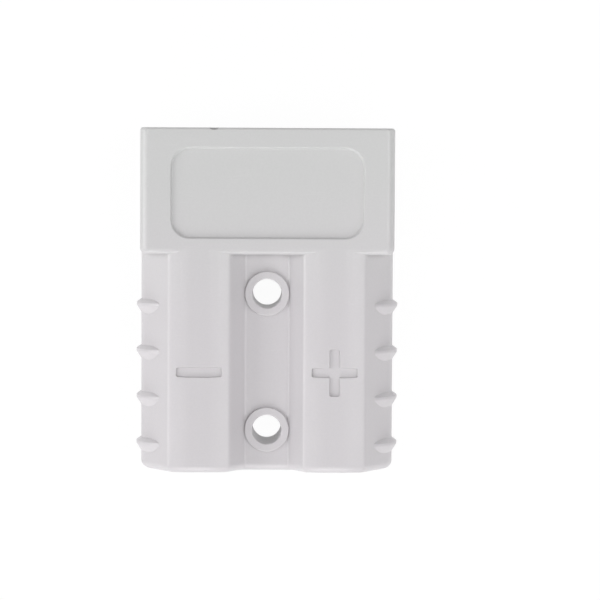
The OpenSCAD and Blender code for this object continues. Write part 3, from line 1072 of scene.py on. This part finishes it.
def driftGroup():
    # one colour passing into another along Y, where the border sways by Cloud
    tree, start, end = newGroup(
        "colourDrift",
        {"Vector": (0.0, 0.0, 0.0), "Front Colour": (0.6, 0.6, 0.6, 1.0),
         "Rear Colour": (0.6, 0.6, 0.6, 1.0), "Front Y": 20.0, "Rear Y": 0.0, "Cloud": 6.0},
        {"Color": "Color"})
    split = addNode(tree, "SeparateXYZ", feeds={0: (start, "Vector")})
    noise = addNode(tree, "TexNoise", {"Scale": 0.12, "Detail": 2.0}, {"Vector": (start, "Vector")})
    sway = addNode(tree, "Math", {1: 0.5}, {0: (noise, 0)}, operation="SUBTRACT")
    sway = times(tree, (sway, 0), (start, "Cloud"))
    y = addNode(tree, "Math", feeds={0: (split, "Y"), 1: (sway, 0)}, operation="ADD")
    share = addNode(
        tree, "MapRange", interpolation_type="SMOOTHSTEP",
        feeds={"Value": (y, 0), "From Min": (start, "Front Y"), "From Max": (start, "Rear Y")})
    mixed = addNode(tree, "Mix", feeds={"Factor": (share, 0), "A": (start, "Front Colour"),
                                        "B": (start, "Rear Colour")}, data_type="RGBA")
    link(tree, mixed, "Result", end, "Color")
    return tree


groups = {tree.name: tree for tree in (
    cloudGroup(), grainGroup(), edgeGroup(), marksGroup(), rollingGroup(), driftGroup())}


def makeFinish(name, look):
    # lays the tints over the colour, adds the changes to the roughness and stacks the heights, in mm
    material = bpy.data.materials.new(name)
    material.use_nodes = True
    tree = material.node_tree
    shader = tree.nodes["Principled BSDF"]
    # the plain colour and roughness are for viewers that can't read the nodes
    plain = {"Base Color": look["colour"], "Roughness": look["roughness"]}
    for entry, value in {**look["shader"], **plain}.items():
        shader.inputs[entry].default_value = value
    spot = addNode(tree, "TexCoord")
    place = addNode(tree, "Mapping", {"Scale": (1 / mm, 1 / mm, 1 / mm)}, {"Vector": (spot, "Object")})
    parts = {part: addNode(tree, "Group", values, {"Vector": (place, 0)}, node_tree=groups[group])
             for part, (group, values) in look["groups"].items()}

    colour = (parts["drift"], "Color") if "drift" in parts else None
    # each tint shows as far as its mask, brought down to an amount
    for part, output, amount, tint in look["tints"]:
        share = addNode(tree, "Math", {1: amount}, {0: (parts[part], output)}, operation="MULTIPLY")
        mixed = addNode(tree, "Mix", {"A": look["colour"], "B": tint}, {"Factor": (share, 0)},
                        data_type="RGBA")
        if colour:
            link(tree, *colour, mixed, "A")
        colour = mixed, "Result"
    link(tree, *colour, shader, "Base Color")

    rough = None
    for part, output, change in look["roughnessChanges"]:
        step = addNode(tree, "Math", {1: change, 2: look["roughness"]}, {0: (parts[part], output)},
                       operation="MULTIPLY_ADD")
        if rough:
            link(tree, rough, 0, step, 2)
        rough = step
    link(tree, rough, 0, shader, "Roughness")

    normal = None
    for part, output, depth in look["heights"]:
        bump = addNode(tree, "Bump", {"Strength": 1.0, "Distance": depth * mm},
                       {"Height": (parts[part], output)})
        if normal:
            link(tree, normal, 0, bump, "Normal")
        normal = bump
    link(tree, normal, 0, shader, "Normal")
    return material


# Housing plastic: light grey, neutral at the hood and a little lilac along the barrels

plasticFinish = {
    "shader": {"Specular IOR Level": 0.5},
    "colour": (0.638, 0.622, 0.637, 1),
    "roughness": 0.34,
    "groups": {
        "drift": ("colourDrift", {
            "Front Colour": (0.628, 0.630, 0.628, 1), "Rear Colour": (0.643, 0.620, 0.640, 1),
            "Front Y": 19.0, "Rear Y": -4.0}),
        "clouds": ("softClouds", {"Size": 7.0}),
        "grain": ("mouldGrain", {"Size": 0.28, "Waviness": 0.5}),
        "edges": ("edgesAndHollows", {}),
        "marks": ("handlingMarks", {}),
    },
    "tints": (
        ("clouds", "Mask", 0.10, (0.60, 0.59, 0.60, 1)),
        ("grain", "Pits", 0.03, (0.26, 0.25, 0.25, 1)),
        ("edges", "Edges", 0.25, (0.70, 0.69, 0.70, 1)),
        # painted shade: darkens the plastic in the recess, the hole walls and at the roots of the ribs and
        # signs
        ("edges", "Shaded And Tarnished Hollows", 0.30, (0.26, 0.25, 0.25, 1)),
        ("marks", "Mask", 0.22, (0.70, 0.69, 0.70, 1)),
    ),
    "roughnessChanges": (
        ("clouds", "Mask", 0.05), ("grain", "Pits", 0.04), ("edges", "Edges", -0.07),
        ("edges", "Shaded And Tarnished Hollows", 0.2), ("marks", "Mask", 0.12)),
    "heights": (("grain", "Height", 0.004), ("marks", "Mask", -0.003)),
}

# Silver-plated copper: drawn lines, patches of brown tarnish, copper showing at worn edges

platingFinish = {
    "shader": {"Metallic": 1.0},
    "colour": (0.86, 0.84, 0.80, 1),
    "roughness": 0.22,
    "groups": {
        "lines": ("rollingLines", {"Width": 0.10}),
        "clouds": ("softClouds", {"Size": 3.5}),
        "edges": ("edgesAndHollows", {"Patch Size": 1.2, "Edge Reach": 0.3 * mm}),
        "marks": ("handlingMarks", {"Length": 2.5, "Cover": 0.62}),
    },
    "tints": (
        ("lines", "Tone", 0.35, (0.66, 0.62, 0.55, 1)),
        ("clouds", "Mask", 0.45, (0.48, 0.36, 0.22, 1)),
        ("edges", "Shaded And Tarnished Hollows", 0.5, (0.48, 0.36, 0.22, 1)),
        ("edges", "Edges", 0.30, (0.80, 0.42, 0.28, 1)),
    ),
    "roughnessChanges": (
        ("lines", "Tone", 0.10), ("clouds", "Mask", 0.14), ("edges", "Edges", -0.05),
        ("marks", "Mask", 0.15)),
    "heights": (("lines", "Height", 0.004), ("marks", "Mask", -0.004)),
}

# Stainless spring strip: rolling lines, a thin warm film and brighter edges

steelFinish = {
    "shader": {"Metallic": 1.0},
    "colour": (0.60, 0.60, 0.61, 1),
    "roughness": 0.26,
    "groups": {
        "lines": ("rollingLines", {"Width": 0.07, "Stretch": 60.0}),
        "clouds": ("softClouds", {"Size": 4.0}),
        "edges": ("edgesAndHollows", {"Patch Size": 1.0, "Edge Reach": 0.2 * mm}),
        "marks": ("handlingMarks", {"Length": 2.0, "Cover": 0.55}),
    },
    "tints": (
        ("lines", "Tone", 0.5, (0.40, 0.40, 0.42, 1)),
        ("clouds", "Mask", 0.25, (0.46, 0.41, 0.33, 1)),
        ("edges", "Edges", 0.45, (0.72, 0.72, 0.73, 1)),
    ),
    "roughnessChanges": (
        ("lines", "Tone", 0.12), ("clouds", "Mask", 0.08), ("edges", "Edges", -0.06),
        ("marks", "Mask", 0.12)),
    "heights": (("lines", "Height", 0.003), ("marks", "Mask", -0.003)),
}

housingPlastic = makeFinish("housingPlastic", plasticFinish)
contactPlating = makeFinish("contactPlating", platingFinish)
springSteel = makeFinish("springSteel", steelFinish)
print("finishes ready")

housingShell = modelHousing()
toMetres(housingShell)
smoothSkin(housingShell, 32)
fit(housingShell, "housing", housingPlastic)
print("housing modelled")

# Each contact and spring is modelled on the middle line, and copied to both poles
for model, name, slot, material in (
        (modelContact, "contact", "contact_plating", contactPlating),
        (modelSpring, "spring", "spring_steel", springSteel)):
    pattern = model()
    for pole, side in (("positive", 1), ("negative", -1)):
        piece = copyOf(pattern, name + pole.capitalize())
        shift(piece, (side * housingForm["poleX"], 0, 0))
        toMetres(piece)
        smoothSkin(piece, 32)
        fit(piece, f"{name}_{pole}", material)
    bpy.data.objects.remove(pattern, do_unlink=True)
print("contacts and springs modelled")

bpy.context.view_layer.update()
